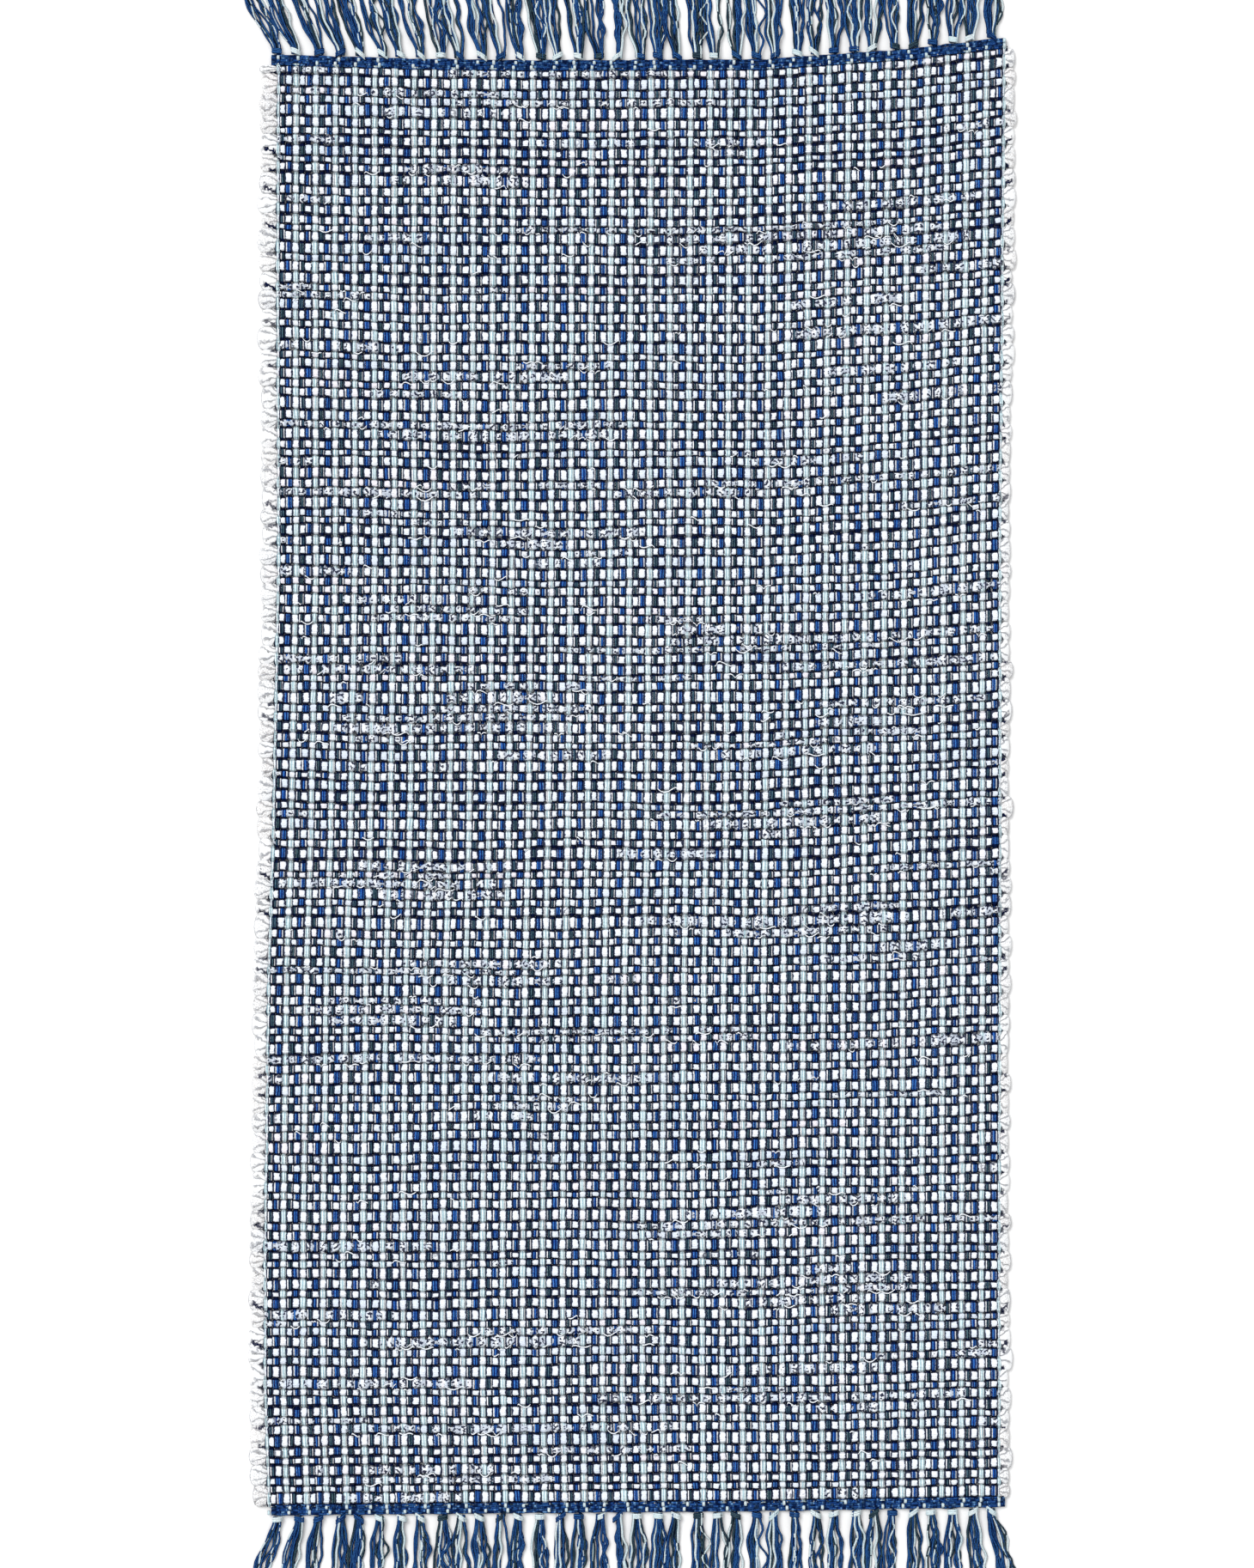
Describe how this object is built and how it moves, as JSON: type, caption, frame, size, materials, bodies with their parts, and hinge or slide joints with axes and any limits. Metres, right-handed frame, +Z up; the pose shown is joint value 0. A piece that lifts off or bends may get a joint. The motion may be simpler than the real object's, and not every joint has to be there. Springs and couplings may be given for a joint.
{
  "type": "cotton rag rug",
  "caption": "Flat rectangular handwoven cotton rag rug in blue, green and white, with rounded rag edges and a knotted yarn fringe along both ends.",
  "frame": {"origin": "on the floor under the middle of the rug, fringes included", "axes": "+X across the rug to its right edge, +Y along its length towards its far end, +Z up out of its upper face"},
  "size_m": [0.6346, 1.3745, 0.0058],
  "materials": {
    "rag_white": "white cotton jersey rag, soft and creased, matt",
    "yarn_blue": "royal blue cotton warp yarn, matt, loosely plied",
    "yarn_dark": "green black cotton warp yarn, matt",
    "yarn_aqua": "pale aqua cotton warp yarn, matt"
  },
  "bodies": {
    "root": {"rug_cloth": "rag_white", "fringe_near": "yarn_blue", "fringe_far": "yarn_blue"}
  },
  "joints": []
}
